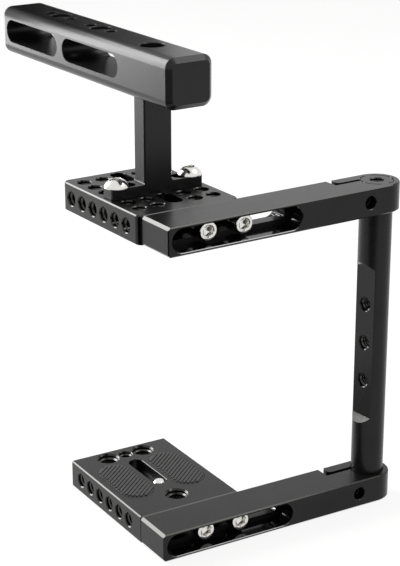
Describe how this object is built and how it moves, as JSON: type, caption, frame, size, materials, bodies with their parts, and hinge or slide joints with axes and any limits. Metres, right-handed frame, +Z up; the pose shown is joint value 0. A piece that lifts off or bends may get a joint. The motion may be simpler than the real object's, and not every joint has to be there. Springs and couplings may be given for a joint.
{
  "type": "camera cage",
  "caption": "Half cage for a camera: two slotted arms clamped on a round post carry a padded base plate with a captive camera screw and a drilled top plate with a handle.",
  "frame": {"origin": "on the post's axis at the lower arm's underside", "axes": "+Z up along the post, -X along the lower arm from the post to its free end, +Y from the arms towards the plates and the handle's far end"},
  "size_m": [0.1307, 0.1687, 0.2178],
  "materials": {
    "black_anodised": "bead-blasted, black anodised, satin",
    "stainless": "polished stainless steel",
    "black_steel": "black oxide",
    "pad_rubber": "moulded, ribbed, matt"
  },
  "bodies": {
    "lower_arm": {"lower_arm": "black_anodised"},
    "lower_pinch_screw": {"lower_pinch_screw": "black_steel"},
    "base": {"base_plate": "black_anodised", "left_pad": "pad_rubber", "right_pad": "pad_rubber", "base_screw_inner": "stainless", "base_screw_outer": "stainless"},
    "camera_screw_washer": {"camera_screw_washer": "stainless"},
    "camera_screw": {"camera_screw": "stainless"},
    "post": {"post": "black_anodised"},
    "upper_arm": {"upper_arm": "black_anodised"},
    "upper_pinch_screw": {"upper_pinch_screw": "black_steel"},
    "top": {"top_plate": "black_anodised", "top_screw_inner": "stainless", "top_screw_outer": "stainless", "handle_bracket": "black_anodised", "handle_grip": "black_anodised", "grip_bolt": "black_steel", "left_handle_screw": "stainless", "right_handle_screw": "stainless"}
  },
  "joints": [
    {"name": "lower_pinch_turn", "type": "hinge", "parent": "lower_arm", "child": "lower_pinch_screw", "pos_m": [-0.0111, 0, 0.0065], "axis": [0, 1, 0], "continuous": true},
    {"name": "base_slide", "type": "slide", "parent": "lower_arm", "child": "base", "axis": [1, 0, 0], "range_m": [-0.0175, 0.0198]},
    {"name": "camera_screw_slide", "type": "slide", "parent": "base", "child": "camera_screw_washer", "axis": [0, 1, 0], "range_m": [0, 0.022]},
    {"name": "camera_screw_lift", "type": "slide", "parent": "camera_screw_washer", "child": "camera_screw", "axis": [0, 0, 1], "range_m": [0, 0.00385]},
    {"name": "post_turn", "type": "hinge", "parent": "lower_arm", "child": "post", "pos_m": [0, 0, 0], "axis": [0, 0, 1], "continuous": true},
    {"name": "height_slide", "type": "slide", "parent": "post", "child": "upper_arm", "axis": [0, 0, 1], "range_m": [-0.11, 0]},
    {"name": "upper_pinch_turn", "type": "hinge", "parent": "upper_arm", "child": "upper_pinch_screw", "pos_m": [-0.01109, -0.00047, 0.1474], "axis": [-0.0419, 0.9991, 0], "continuous": true},
    {"name": "top_slide", "type": "slide", "parent": "upper_arm", "child": "top", "axis": [0.9991, 0.0419, 0], "range_m": [-0.0158, 0.0215]}
  ]
}
